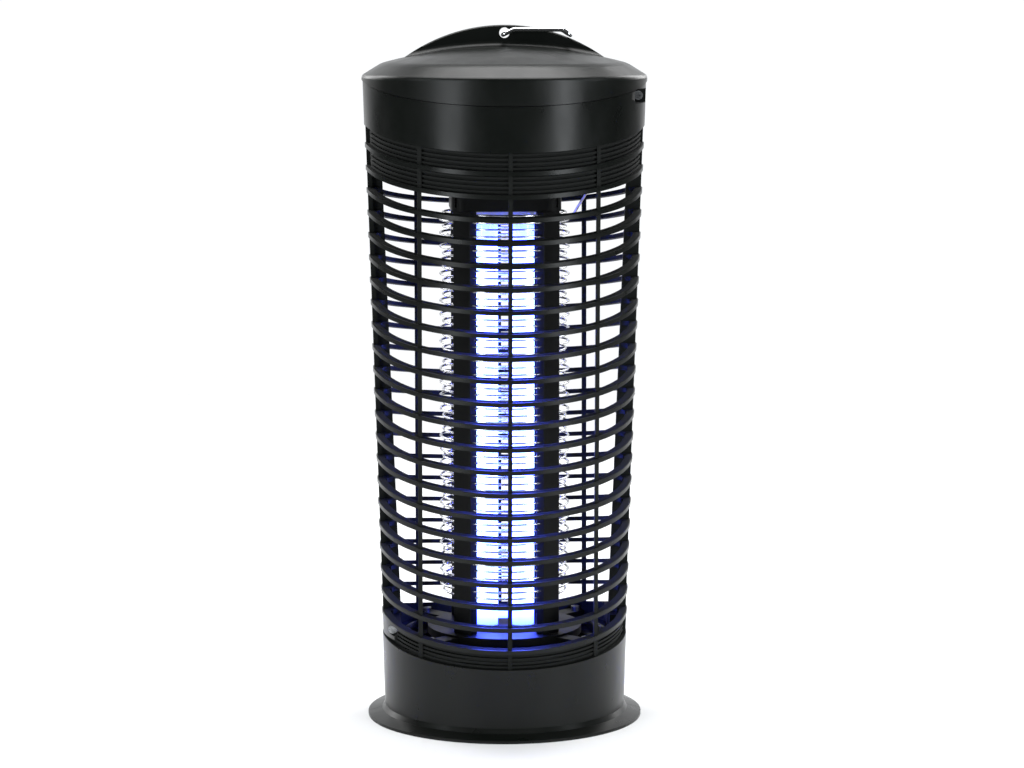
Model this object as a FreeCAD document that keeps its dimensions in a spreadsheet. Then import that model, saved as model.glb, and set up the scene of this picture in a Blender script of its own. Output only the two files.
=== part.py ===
import FreeCAD, Part
import math
import os
import re
import Sketcher

# An electric bug zapper: a tapered cage of two identical half shells, a domed
# lid with a hanging fin, a round insect tray in the base, and a twin-tube lamp
# inside a wire grid.  Millimetres, +Z up, front at -Y, origin on the floor
# under the middle of the object.

Vector = FreeCAD.Vector
X_AXIS = Vector(1, 0, 0)
Z_AXIS = Vector(0, 0, 1)

SIZES = {
    # tapered housing: outer radius at the floor and at the top of the taper
    "floor_radius": 62.2,
    "taper_radius": 72.7,
    "taper_height": 340.0,
    "wall": 2.0,
    "parting_gap": 0.2,
    # every ring and edge droops from the side seams to the front and the back
    "crest_radius": 110.0,
    "ring_tilt": 10.6,
    "seam_tilt": 9.9,
    "base_tilt": 8.2,
    "band_reach": 78.0,
    "band_width": 160.0,
    "seam_crest": 329.35,
    "seam_gap": 0.5,
    "neck_crest": 307.0,
    "base_crest": 43.8,
    # cage rings
    "ring_count": 22,
    "ring_pitch": 11.52,
    "ring_height": 2.2,
    "ring_depth": 4.0,
    "lowest_ring": 54.8,
    # louvre slats above and below the open cage
    "slat_height": 1.1,
    "slat_stop": 14.0,
    "slat_out": 1.4,
    "slat_in": 2.8,
    "back_out": 2.6,
    "top_slats": 9,
    "top_slat_pitch": 2.304,
    "low_slats": 4,
    "low_slat_pitch": 2.0,
    # vertical ribs, and the side flanges where the two half shells meet
    "rib_out": 1.0,
    "rib_in": 4.4,
    "rib_width": 2.1,
    "rib_spread": 44.5,
    "pillar_out": 0.6,
    "pillar_in": 3.0,
    "flange_low": 51.9,
    "flange_high": 64.8,
    "flange_depth": 16.0,
    "flange_thick": 2.4,
    "flange_foot": 44.2,
    "ring_corner": 4.0,
    # floor brim
    "brim_radius": 71.2,
    "brim_edge": 1.5,
    "brim_height": 4.1,
    "flare_radius": 64.2,
    "flare_height": 6.0,
    # inner ledges that carry the deck and the funnel
    "deck_seat": 288.5,
    "deck_ledge_out": 3.5,
    "deck_ledge_in": 7.5,
    "funnel_seat": 41.0,
    "funnel_ledge_out": 1.9,
    "funnel_ledge_in": 7.4,
    "ledge_height": 2.0,
    # shell screws, driven from the front and from the back
    "high_screw_side": 66.8,
    "high_screw_level": 322.2,
    "notch_side": 64.0,
    "notch_low": 318.4,
    "notch_high": 325.6,
    "notch_corner": 2.0,
    "notch_floor": 4.0,
    "notch_boss_radius": 2.6,
    "low_screw_side": 58.4,
    "low_screw_level": 48.6,
    "block_depth": 10.0,
    "seat_depth": 19.0,
    "screw_radius": 1.5,
    "screw_clearance": 1.75,
    "screw_length": 26.0,
    "screw_head_radius": 2.3,
    "screw_head_height": 1.9,
    "screw_pocket_radius": 2.6,
    # lid
    "lid_radius": 72.9,
    "lid_wall": 3.6,
    "lid_skin": 2.4,
    "dome_radius": 240.0,
    "dome_top": 346.5,
    "lid_corner": 2.4,
    "lid_shoulder_level": 331.9,
    "lid_shoulder_run": 1.62,
    "lid_shoulder_round": 14.0,
    "lip_radius": 69.5,
    "lip_thick": 1.8,
    "lip_drop": 4.0,
    "lip_half_width": 57.0,
    "fin_thick": 4.6,
    "fin_radius": 87.0,
    "fin_top": 357.4,
    "fin_half_length": 53.0,
    "fin_foot": 3.6,
    "fin_round": 1.2,
    "eye_radius": 2.7,
    "eye_level": 353.4,
    "lid_boss_ring": 54.0,
    "lid_boss_radius": 3.6,
    "lid_boss_top": 339.0,
    "lid_boss_count": 3,
    # wire hanging loop, resting along the fin
    "loop_wire": 2.2,
    "loop_pivot_x": -0.8,
    "loop_pivot_z": 352.4,
    "loop_half_width": 4.4,
    "loop_end_x": 33.6,
    "loop_end_z": 352.2,
    # deck that carries the electrical parts
    "deck_radius": 66.4,
    "deck_thick": 2.5,
    "standoff_height": 6.0,
    "standoff_radius": 3.0,
    # grid
    "grid_wire": 1.2,
    "grid_pitch": 3.5,
    "grid_first": 66.0,
    "grid_rings": 57,
    "inner_grid_radius": 31.6,
    "outer_grid_radius": 33.0,
    "post_middle": 32.2,
    "post_size": 5.6,
    "post_width": 11.0,
    "post_azimuth": 41.0,
    "bus_radius": 0.6,
    "head_size": 56.0,
    "head_corner": 8.0,
    "head_low": 264.0,
    "head_wall": 2.0,
    "plate_radius": 40.0,
    "plate_low": 43.0,
    "plate_thick": 4.0,
    "spoke_reach": 58.4,
    "spoke_width": 9.0,
    "spoke_thick": 3.0,
    "plate_screw_ring": 56.2,
    # funnel and tray
    "funnel_radius": 58.6,
    "funnel_flange": 53.5,
    "funnel_mouth": 49.5,
    "funnel_thick": 2.0,
    "funnel_depth": 5.0,
    "tray_radius": 58.5,
    "tray_low": 1.0,
    "tray_rim_radius": 59.7,
    "tray_rim_height": 2.0,
    "tray_top": 38.4,
    "tray_wall": 2.0,
    "tray_recess_radius": 36.0,
    "tray_recess_height": 9.0,
    "grip_width": 8.0,
    # lamp
    "tube_radius": 6.0,
    "tube_wall": 0.8,
    "tube_spread": 9.4,
    "tube_low": 45.0,
    "tube_high": 258.0,
    "bridge_level": 53.0,
    "bridge_radius": 3.2,
    "lamp_base_low": 256.6,
    "lamp_base_high": 272.0,
    "lamp_base_length": 32.0,
    "lamp_base_width": 19.0,
    "pin_radius": 1.2,
    "pin_spread": 11.5,
    "pin_length": 6.5,
    "socket_length": 36.0,
    "socket_width": 27.0,
    # cord inlet in the back of the neck
    "gland_level": 310.5,
    "gland_top": 318.0,
    "gland_flange_half": 6.8,
    "gland_collar_radius": 6.2,
    "gland_flange_out": 72.85,
    "gland_flange_thick": 0.95,
    "gland_body_half": 4.8,
    "gland_slot_half": 5.0,
    "gland_bore_radius": 3.3,
    "gland_inner": 62.85,
}

doc = FreeCAD.newDocument("bug_zapper")
sheet = doc.addObject("Spreadsheet::Sheet", "sizes")
for row, (alias, number) in enumerate(SIZES.items(), start=1):
    sheet.set(f"A{row}", alias)
    sheet.set(f"B{row}", str(number))
    sheet.setAlias(f"B{row}", alias)
doc.recompute()


# ------------------------------------------------------------------ helpers

def in_sheet(formula):
    """Turn the sheet's names in a formula into references to its cells."""
    def refer(match):
        word = match.group(0)
        return "sizes." + word if word in SIZES else word
    return re.sub(r"[A-Za-z_][A-Za-z_0-9]*", refer, str(formula))


def bind(item, **formulas):
    """Bind properties to formulas; a double underscore stands for a dot."""
    for name, formula in formulas.items():
        item.setExpression(name.replace("__", "."), in_sheet(formula))
    return item


def place(item, x="0", y="0", z="0"):
    return bind(item, Placement__Base__x=x, Placement__Base__y=y, Placement__Base__z=z)


def turn(item, axis, degrees):
    item.Placement = FreeCAD.Placement(Vector(), FreeCAD.Rotation(axis, degrees))
    return item


def box(name, x_span, y_span, z_span):
    """A box from three (low, high) pairs of formulas."""
    item = doc.addObject("Part::Box", name)
    bind(item, Length=f"({x_span[1]}) - ({x_span[0]})", Width=f"({y_span[1]}) - ({y_span[0]})",
         Height=f"({z_span[1]}) - ({z_span[0]})")
    return place(item, x_span[0], y_span[0], z_span[0])


def cylinder(name, radius, low, high, x="0", y="0"):
    """A cylinder along Z from low to high."""
    item = doc.addObject("Part::Cylinder", name)
    bind(item, Radius=radius, Height=f"({high}) - ({low})")
    return place(item, x, y, low)


def cylinder_y(name, radius, near, far, x, z):
    """A cylinder along +Y from near to far."""
    item = turn(doc.addObject("Part::Cylinder", name), X_AXIS, -90)
    bind(item, Radius=radius, Height=f"({far}) - ({near})")
    return place(item, x, near, z)


def cylinder_x(name, radius, low, high, y, z):
    """A cylinder along +X from low to high."""
    item = turn(doc.addObject("Part::Cylinder", name), Vector(0, 1, 0), 90)
    bind(item, Radius=radius, Height=f"({high}) - ({low})")
    return place(item, low, y, z)


def cone(name, low_radius, high_radius, low, high):
    item = doc.addObject("Part::Cone", name)
    bind(item, Radius1=low_radius, Radius2=high_radius, Height=f"({high}) - ({low})")
    return place(item, "0", "0", low)


def cut(name, base, tool):
    item = doc.addObject("Part::Cut", name)
    item.Base = base
    item.Tool = tool
    return item


def common(name, base, tool):
    item = doc.addObject("Part::Common", name)
    item.Base = base
    item.Tool = tool
    return item


def fuse(name, *members):
    item = doc.addObject("Part::MultiFuse", name)
    item.Shapes = list(members)
    return item


def group(name, *members):
    item = doc.addObject("Part::Compound", name)
    item.Links = list(members)
    return item


def fillet(name, base, radius, wanted):
    """Round the edges of base for which wanted(edge) is true."""
    doc.recompute()
    item = doc.addObject("Part::Fillet", name)
    item.Base = base
    chosen = [number for number, edge in enumerate(base.Shape.Edges, start=1) if wanted(edge)]
    item.Edges = [(number, radius, radius) for number in chosen]
    return item


def half_tube(name, outer_inset, inner_inset):
    """The front half of a tapered tube between two insets from the outer face."""
    outer = doc.addObject("Part::Cone", name + "_outer")
    outer.Angle = 180
    turn(outer, Z_AXIS, 180)
    bind(outer, Radius1=f"floor_radius - {outer_inset}", Radius2=f"taper_radius - {outer_inset}",
         Height="taper_height")
    inner = cone(name + "_inner", f"floor_radius - {inner_inset}", f"taper_radius - {inner_inset}",
                 "0", "taper_height")
    return cut(name, outer, inner)


def droop_edge(sketch, crest, tilt):
    """Draw one drooping edge: a crest arc with a tangent line down each side."""
    radius = SIZES["crest_radius"]
    reach = SIZES["band_reach"]
    angle = math.radians(SIZES[tilt])
    half = radius * math.sin(angle)
    level = crest - radius + radius * math.cos(angle)
    low = level - (reach - half) * math.tan(angle)
    circle = Part.Circle(Vector(0, crest - radius, 0), Z_AXIS, radius)
    arc = sketch.addGeometry(Part.ArcOfCircle(circle, math.pi / 2 - angle, math.pi / 2 + angle))
    left = sketch.addGeometry(Part.LineSegment(Vector(-reach, low, 0), Vector(-half, level, 0)))
    right = sketch.addGeometry(Part.LineSegment(Vector(half, level, 0), Vector(reach, low, 0)))
    sketch.addConstraint(Sketcher.Constraint("Tangent", left, 2, arc, 2))
    sketch.addConstraint(Sketcher.Constraint("Tangent", arc, 1, right, 1))
    sketch.addConstraint(Sketcher.Constraint("PointOnObject", arc, 3, -2))
    size = sketch.addConstraint(Sketcher.Constraint("Radius", arc, radius))
    sketch.setExpression(f"Constraints[{size}]", in_sheet("crest_radius"))
    slope = sketch.addConstraint(Sketcher.Constraint("Angle", left, angle))
    sketch.setExpression(f"Constraints[{slope}]", in_sheet(f"{tilt} * 1 deg"))
    return arc, left, right, low


def droop_band(name, low, high, low_tilt="ring_tilt", high_tilt="ring_tilt", count=None, pitch=None):
    """A slab between two drooping edges, right across the object along X.

    low and high are the crest levels, each a (sheet name, offset) pair.  With
    a count and a pitch the slab is repeated upwards.
    """
    radius = SIZES["crest_radius"]
    low_crest = SIZES[low[0]] + low[1]
    high_crest = SIZES[high[0]] + high[1]
    body = doc.addObject("PartDesign::Body", name)
    sketch = body.newObject("Sketcher::SketchObject", name + "_profile")
    plane = next(item for item in body.Origin.OriginFeatures if item.Role == "YZ_Plane")
    sketch.AttachmentSupport = [(plane, "")]
    sketch.MapMode = "FlatFace"
    low_arc, low_left, low_right, low_end = droop_edge(sketch, low_crest, low_tilt)
    high_arc, high_left, high_right, high_end = droop_edge(sketch, high_crest, high_tilt)
    reach = SIZES["band_reach"]
    ends = []
    for side in (-reach, reach):
        line = Part.LineSegment(Vector(side, low_end, 0), Vector(side, high_end, 0))
        ends.append(sketch.addGeometry(line))
    rules = [
        ("Coincident", low_left, 1, ends[0], 1),
        ("Coincident", high_left, 1, ends[0], 2),
        ("Coincident", low_right, 2, ends[1], 1),
        ("Coincident", high_right, 2, ends[1], 2),
        ("Vertical", ends[0]),
        ("Vertical", ends[1]),
        ("Symmetric", low_left, 1, low_right, 2, -2),
        ("Horizontal", high_left, 1, high_right, 2),
    ]
    for rule in rules:
        sketch.addConstraint(Sketcher.Constraint(*rule))
    span = sketch.addConstraint(Sketcher.Constraint("DistanceX", low_left, 1, -1, 1, reach))
    sketch.setExpression(f"Constraints[{span}]", in_sheet("band_reach"))
    for arc, (cell, offset), crest in ((low_arc, low, low_crest), (high_arc, high, high_crest)):
        rise = crest - radius
        if rise > 0:
            rule = Sketcher.Constraint("DistanceY", -1, 1, arc, 3, rise)
            formula = f"{cell} + ({offset}) - crest_radius"
        else:
            rule = Sketcher.Constraint("DistanceY", arc, 3, -1, 1, -rise)
            formula = f"crest_radius - {cell} - ({offset})"
        number = sketch.addConstraint(rule)
        sketch.setExpression(f"Constraints[{number}]", in_sheet(formula))
    pad = body.newObject("PartDesign::Pad", name + "_pad")
    pad.Profile = sketch
    pad.SideType = "Symmetric"
    bind(pad, Length="band_width")
    body.Tip = pad
    if count:
        doc.recompute()
        pattern = body.newObject("PartDesign::LinearPattern", name + "_pattern")
        pattern.Originals = [pad]
        pattern.Direction = (sketch, ["V_Axis"])
        bind(pattern, Length=f"({count} - 1) * {pitch}", Occurrences=count)
        body.Tip = pattern
    return body


def rounded_path(points, radii, closed=False):
    """A wire through points, with each corner rounded by a tangent arc."""
    total = len(points)
    corners = range(total) if closed else range(1, total - 1)
    cuts = {}
    for index in corners:
        here = points[index]
        back = (points[index - 1] - here).normalize()
        ahead = (points[(index + 1) % total] - here).normalize()
        half = back.getAngle(ahead) / 2
        trim = radii[index] / math.tan(half)
        middle = (back + ahead).normalize()
        start = here + back * trim
        finish = here + ahead * trim
        apex = here + middle * (radii[index] / math.sin(half) - radii[index])
        cuts[index] = (start, apex, finish)
    edges = []
    for index in range(total if closed else total - 1):
        following = (index + 1) % total
        start = cuts[index][2] if index in cuts else points[index]
        finish = cuts[following][0] if following in cuts else points[following]
        edges.append(Part.makeLine(start, finish))
        if following in cuts:
            edges.append(Part.Arc(*cuts[following]).toShape())
    return Part.Wire(edges)


def tube_along(name, path, diameter):
    """A round wire swept along a path, as a Part::Feature."""
    first = path.Edges[0]
    start = first.Vertexes[0].Point
    circle = Part.makeCircle(diameter / 2, start, first.tangentAt(first.FirstParameter))
    solid = path.makePipeShell([Part.Wire([circle])], True, False)
    item = doc.addObject("Part::Feature", name)
    item.Shape = solid
    length = path.Length
    expected = math.pi * (diameter / 2) ** 2 * length
    print(name, "length", round(length, 1), "volume ratio", round(solid.Volume / expected, 4))
    return item


def screw(name, radius, length, head_radius, head_height, x, y, z, facing):
    """A cross-head screw; facing is the way its head points, along Y or Z."""
    shank = cylinder(name + "_shank", radius, f"-({length})", "0")
    head = cylinder(name + "_head", head_radius, "0", head_height)
    solid = fuse(name + "_solid", shank, head)
    bar = f"{head_radius} * 0.6"
    wing = f"{head_radius} * 0.16"
    depth = (f"{head_height} * 0.45", f"{head_height} + 1")
    cross = fuse(name + "_cross",
                 box(name + "_cross_a", (f"-{bar}", bar), (f"-{wing}", wing), depth),
                 box(name + "_cross_b", (f"-{wing}", wing), (f"-{bar}", bar), depth))
    item = cut(name, solid, cross)
    turn(item, X_AXIS, {"-Y": 90, "+Y": -90, "-Z": 180, "+Z": 0}[facing])
    return place(item, x, y, z)


LEAD_FEET = ((44.0, -16.0), (-10.4, 47.0))
LEAD_DIAMETER = 1.3
NODES = {}


def node(name, item):
    """Name a finished sub-part; its label becomes its file's name."""
    item.Label = name
    NODES[name] = item
    return item


# ------------------------------------------------------------- half shells

def make_front_shell():
    """Neck, cage, base and brim of the front half, for -Y."""
    wall = half_tube("wall_tube", "0", "wall")
    ring_tube = half_tube("ring_tube", "0", "ring_depth")
    pillar_tube = half_tube("pillar_tube", "pillar_out", "pillar_in")
    flange_tube = half_tube("flange_tube", "pillar_out", "flange_depth")
    rib_tube = half_tube("rib_tube", "rib_out", "rib_in")
    back_tube = half_tube("back_tube", "back_out", "ring_depth")
    slat_tube = half_tube("slat_tube", "slat_out", "slat_in")

    half_gap = SIZES["seam_gap"] / 2
    half_ring = SIZES["ring_height"] / 2
    rise = SIZES["ring_pitch"] * (SIZES["ring_count"] - 2)
    neck = common("neck_wall", wall, droop_band("neck_band", ("neck_crest", 0),
                                                ("seam_crest", -half_gap), "ring_tilt", "seam_tilt"))
    base = common("base_wall", wall, droop_band("base_band", ("base_crest", -60),
                                                ("base_crest", 0), "base_tilt", "base_tilt"))
    ring_bank = droop_band("ring_bank", ("lowest_ring", -half_ring), ("lowest_ring", half_ring),
                           count="ring_count", pitch="ring_pitch")
    rings = common("rings", ring_tube, ring_bank)
    cage_band = droop_band("cage_band", ("base_crest", -4), ("neck_crest", 2), "base_tilt")
    window = make_window()
    slab = box("flange_slab", ("-band_reach", "band_reach"), ("-flange_thick", "0"),
               ("flange_foot", "neck_crest"))
    flanges = cut("flanges", common("flange_plate", flange_tube, slab), window)
    edge = box("pillar_slab", ("-band_reach", "band_reach"), ("-flange_thick", "0"),
               ("0", "taper_height"))
    pillars = common("pillars", common("pillar_ring", pillar_tube, cage_band), edge)
    corners = common("ring_corners", make_corner_fill(flange_tube, window), ring_bank)
    rib_half = "rib_width / 2"
    rib_boxes = []
    for side, middle in (("left", "-rib_spread"), ("mid", "0"), ("right", "rib_spread")):
        rib_boxes.append(box(f"rib_box_{side}", (f"{middle} - {rib_half}", f"{middle} + {rib_half}"),
                             ("-band_reach", "0"), ("0", "taper_height")))
    rib_ring = common("rib_ring", rib_tube, cage_band)
    ribs = common("ribs", rib_ring, group("rib_boxes", *rib_boxes))

    top_back = common("top_back", back_tube,
                      droop_band("top_back_band", ("lowest_ring", rise - half_ring), ("neck_crest", 1.5)))
    low_back = common("low_back", back_tube,
                      droop_band("low_back_band", ("base_crest", -1.5), ("lowest_ring", half_ring),
                                 "base_tilt"))
    half_slat = SIZES["slat_height"] / 2
    first = rise + SIZES["top_slat_pitch"]
    slat_zone = box("slat_zone", ("-band_reach", "band_reach"), ("-band_reach", "-slat_stop"),
                    ("0", "taper_height"))
    slats_in_zone = common("slats_in_zone", slat_tube, slat_zone)
    top_slats = common("top_slats", slats_in_zone,
                       droop_band("top_slat_bank", ("lowest_ring", first - half_slat),
                                  ("lowest_ring", first + half_slat),
                                  count="top_slats", pitch="top_slat_pitch"))
    first = -SIZES["low_slat_pitch"] * SIZES["low_slats"]
    low_slats = common("low_slats", slats_in_zone,
                       droop_band("low_slat_bank", ("lowest_ring", first - half_slat),
                                  ("lowest_ring", first + half_slat),
                                  count="low_slats", pitch="low_slat_pitch"))
    solid = fuse("front_solid", neck, base, rings, pillars, flanges, corners, ribs, top_back,
                 low_back, top_slats, low_slats, make_brim(), *make_ledges(), *make_screw_blocks())
    return cut("front_shell", solid, make_shell_openings())


def make_window():
    """The space between the inner edges of the two side flanges, narrower at the floor."""
    window = turn(doc.addObject("Part::Wedge", "window"), X_AXIS, 90)
    bind(window, Xmin="-flange_low", Xmax="flange_low", X2min="-flange_high", X2max="flange_high",
         Ymin="0", Ymax="taper_height", Zmin="0", Zmax="band_reach", Z2min="0", Z2max="band_reach")
    return window


def make_corner_fill(flange_tube, window):
    """The hollow-rounded corners where each ring runs into the side flanges."""
    slab = box("corner_slab", ("-band_reach", "band_reach"), ("-flange_thick - ring_corner", "0"),
               ("flange_foot", "neck_crest"))
    block = cut("corner_block", common("corner_plate", flange_tube, slab), window)
    lean = math.degrees(math.atan2(SIZES["flange_high"] - SIZES["flange_low"], SIZES["taper_height"]))
    hollows = []
    for side in (-1, 1):
        hollow = turn(doc.addObject("Part::Cylinder", f"corner_hollow_{side > 0}"), Vector(0, 1, 0),
                      side * lean)
        bind(hollow, Radius="ring_corner", Height="taper_height + 20")
        hollows.append(place(hollow, f"{side} * flange_low", "-flange_thick - ring_corner", "-5"))
    return cut("corner_fill", block, group("corner_hollows", *hollows))


def make_brim():
    """The thin sloping brim that the object stands on, and its flared foot."""
    edge = cylinder("brim_edge_disc", "brim_radius", "0", "brim_edge")
    slope = cone("brim_slope", "brim_radius", "floor_radius - 0.2", "brim_edge", "brim_height")
    flare = cone("brim_flare", "flare_radius", "floor_radius", "brim_height - 0.8", "flare_height")
    disc = fuse("brim_disc", edge, slope, flare)
    inside = cone("brim_inside", "floor_radius - wall", "taper_radius - wall", "0", "taper_height")
    front = box("brim_front", ("-band_reach", "band_reach"), ("-band_reach", "0"),
                ("-1", "flare_height + 1"))
    return common("brim", cut("brim_ring", disc, inside), front)


def make_ledges():
    """Inner ledges under the deck and under the funnel ring."""
    ledges = []
    for name, seat in (("deck", "deck_seat"), ("funnel", "funnel_seat")):
        tube = half_tube(f"{name}_ledge_tube", f"{name}_ledge_out", f"{name}_ledge_in")
        slab = box(f"{name}_ledge_slab", ("-band_reach", "band_reach"), ("-band_reach", "0"),
                   (f"{seat} - ledge_height", seat))
        ledges.append(common(f"{name}_ledge", tube, slab))
    return ledges


def make_screw_blocks():
    """Solid corners for the screws, kept inside the outer face."""
    notch_wall = "notch_side - 2"
    high = ("notch_low - 2", "seam_crest + 1")
    low = ("low_screw_level - 4.4", "low_screw_level + 4.4")
    outside = "taper_radius + 2"
    blocks = group(
        "screw_block_boxes",
        box("high_head_block", (notch_wall, outside), ("-40", "0"), high),
        box("high_nut_block", (f"-{outside}", f"-({notch_wall})"), ("-block_depth", "0"), high),
        box("low_head_block", (f"-{outside}", "-low_screw_side + 4.2"), ("-26", "0"), low),
        box("low_nut_block", ("low_screw_side - 4.2", outside), ("-block_depth", "0"), low))
    solid = cone("block_limit", "floor_radius - 0.3", "taper_radius - 0.3", "0", "taper_height")
    under_seam = droop_band("block_roof", ("base_crest", -60), ("seam_crest", -SIZES["seam_gap"] / 2),
                            "base_tilt", "seam_tilt")
    inside = common("blocks_in_wall", blocks, solid)
    return [common("screw_blocks", inside, under_seam)]


def make_shell_openings():
    """Screw notch, pockets and holes, and the gap along the parting line."""
    past = "band_reach + 2"
    return fuse(
        "shell_openings",
        make_notch(past),
        cylinder_y("high_hole", "screw_clearance", f"-({past})", "1", "high_screw_side",
                   "high_screw_level"),
        cylinder_y("high_pilot", "screw_radius", "-block_depth + 1", "1", "-high_screw_side",
                   "high_screw_level"),
        cylinder_y("low_pocket", "screw_pocket_radius", f"-({past})", "-seat_depth",
                   "-low_screw_side", "low_screw_level"),
        cylinder_y("low_hole", "screw_clearance", "-seat_depth - 1", "1", "-low_screw_side",
                   "low_screw_level"),
        cylinder_y("low_pilot", "screw_radius", "-block_depth + 1", "1", "low_screw_side",
                   "low_screw_level"),
        box("parting", (f"-({past})", past), ("-parting_gap / 2", "parting_gap / 2"),
            ("-2", "taper_height + 2")))


def make_notch(past):
    """The side notch of the upper screw, with the screw's boss standing in it."""
    pocket = box("notch_box", ("notch_side", past), (f"-({past})", "-notch_floor"),
                 ("notch_low", "notch_high"))
    rounded = fillet("notch_rounded", pocket, SIZES["notch_corner"],
                     lambda edge: edge.BoundBox.YLength > 10 and edge.BoundBox.XMax < SIZES["notch_side"] + 1)
    boss = cylinder_y("notch_boss", "notch_boss_radius", "-seat_depth", "0", "high_screw_side",
                      "high_screw_level")
    return cut("notch", rounded, boss)


def make_rear_shell(front):
    """The same moulding turned half round, with a slot from the seam down for the cord inlet."""
    turned = turn(group("rear_half", front), Z_AXIS, 180)
    slot = box("inlet_slot", ("-gland_slot_half", "gland_slot_half"),
               ("floor_radius", "taper_radius + 4"), ("gland_level - gland_slot_half", "seam_crest"))
    return cut("rear_shell", turned, slot)


def make_shell_screws():
    """Two screws from the front and two from the back."""
    screws = []
    for side, facing in ((1, "-Y"), (-1, "+Y")):
        for name, offset, level in (("high", f"{side} * high_screw_side", "high_screw_level"),
                                    ("low", f"{-side} * low_screw_side", "low_screw_level")):
            screws.append(screw(f"{name}_screw_{facing[0] == '-'}", "screw_radius - 0.02",
                                "screw_length", "screw_head_radius", "screw_head_height",
                                offset, f"{-side} * seat_depth", level, facing))
    return group("shell_screws", *screws)


# --------------------------------------------------------------------- lid

def make_lid():
    """The domed lid with its skirt, inner lip, screw bosses and hanging fin."""
    outer_ball = doc.addObject("Part::Sphere", "dome_ball")
    place(bind(outer_ball, Radius="dome_radius"), z="dome_top - dome_radius")
    inner_ball = doc.addObject("Part::Sphere", "dome_hollow")
    place(bind(inner_ball, Radius="dome_radius - lid_skin"), z="dome_top - dome_radius")
    drum = cylinder("lid_drum", "lid_radius", "280", "taper_height + 30")
    outer = common("lid_outer", common("lid_top", outer_ball, drum), lid_shoulder("outer_shoulder", "0"))
    corner_level = SIZES["lid_shoulder_level"]
    cornered = fillet("lid_cornered", outer, SIZES["lid_corner"],
                      lambda edge: edge.BoundBox.XLength > 100 and abs(edge.BoundBox.ZMin - corner_level) < 1)
    rounded = fillet("lid_rounded", cornered, SIZES["lid_shoulder_round"],
                     lambda edge: 100 < edge.BoundBox.XLength < 130 and edge.BoundBox.ZMin > corner_level + 4)
    bore = cylinder("lid_bore", "lid_radius - lid_wall", "270", "taper_height + 30")
    inner = common("lid_inner", common("lid_under", inner_ball, bore),
                   lid_shoulder("inner_shoulder", "lid_skin * 1.3"))
    above_seam = droop_band("lid_band", ("seam_crest", SIZES["seam_gap"] / 2), ("seam_crest", 60),
                            "seam_tilt", "seam_tilt")
    shell = common("lid_shell", cut("lid_hollow", rounded, inner), above_seam)

    fin_box = box("fin_box", ("-fin_half_length", "fin_half_length"), ("-20", "20"),
                  ("dome_top - 12", "fin_top + 5"))
    fin_blank = common("fin_blank", fin_slab("fin_disc", "fin_thick / 2"), fin_box)
    fin_round = fillet("fin_rounded", fin_blank, SIZES["fin_round"],
                       lambda edge: edge.BoundBox.YLength < 0.01 and edge.BoundBox.ZMax > 355)
    foot_blank = common("foot_blank", fin_slab("foot_disc", "fin_thick / 2 + fin_foot"), fin_box)
    foot_ball = doc.addObject("Part::Sphere", "foot_ball")
    place(bind(foot_ball, Radius="dome_radius + fin_foot"), z="dome_top - dome_radius")
    hollows = []
    for side in (-1, 1):
        hollow = turn(doc.addObject("Part::Torus", f"foot_hollow_{side > 0}"), X_AXIS, 90)
        bind(hollow, Radius1="dome_radius + fin_foot - 0.12", Radius2="fin_foot")
        hollows.append(place(hollow, "0", f"{side} * (fin_thick / 2 + fin_foot - 0.05)",
                             "dome_top - dome_radius"))
    foot = cut("fin_foot_flare", common("foot_low", foot_blank, foot_ball),
               group("foot_hollows", *hollows))
    fin = cut("fin", fuse("fin_and_foot", fin_round, foot), inner_ball)

    lip_tube = cut("lip_tube", cylinder("lip_outer", "lip_radius", "280", "taper_height"),
                   cylinder("lip_inner", "lip_radius - lip_thick", "270", "taper_height + 10"))
    lip_width = box("lip_width", ("-lip_half_width", "lip_half_width"), ("-band_reach", "band_reach"),
                    ("270", "taper_height + 10"))
    lip_band = droop_band("lip_band", ("seam_crest", -SIZES["lip_drop"]), ("seam_crest", 3),
                          "seam_tilt", "seam_tilt")
    inlet_gap = box("lip_inlet_gap", ("-gland_flange_half - 0.3", "gland_flange_half + 0.3"),
                    ("50", "band_reach"), ("270", "taper_height + 10"))
    lip = cut("lip", common("lip_ring", common("lip_sides", lip_tube, lip_width), lip_band), inlet_gap)
    bosses = []
    pilots = []
    for x, y in boss_places():
        bosses.append(cylinder(f"lid_boss_{len(bosses)}", "lid_boss_radius",
                               "deck_seat + deck_thick", "lid_boss_top", x, y))
        pilots.append(cylinder(f"lid_pilot_{len(pilots)}", "screw_radius",
                               "deck_seat", "deck_seat + deck_thick + 12", x, y))
    solid = fuse("lid_solid", shell, fin, lip, *bosses)
    eye = cylinder_y("eye", "eye_radius", "-10", "10", "0", "eye_level")
    return cut("lid", solid, group("lid_holes", eye, *pilots))


def lid_shoulder(name, drop):
    """A cone with the slope of the lid's shoulder, lowered by drop."""
    level = f"(lid_shoulder_level - {drop})"
    return cone(name, f"lid_radius + lid_shoulder_run * ({level} - 270)",
                f"lid_radius - lid_shoulder_run * (350 - {level})", "270", "350")


def fin_slab(name, half_thick):
    """A disc on edge whose rim is the arched top of the fin."""
    return cylinder_y(name, "fin_radius", f"-({half_thick})", half_thick, "0", "fin_top - fin_radius")


def boss_places():
    """Formulas for the places of the lid's screw bosses."""
    places = []
    for index in range(SIZES["lid_boss_count"]):
        angle = f"(90 + {index} * 360 / lid_boss_count) * 1 deg"
        places.append((f"lid_boss_ring * cos({angle})", f"lid_boss_ring * sin({angle})"))
    return places


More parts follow.
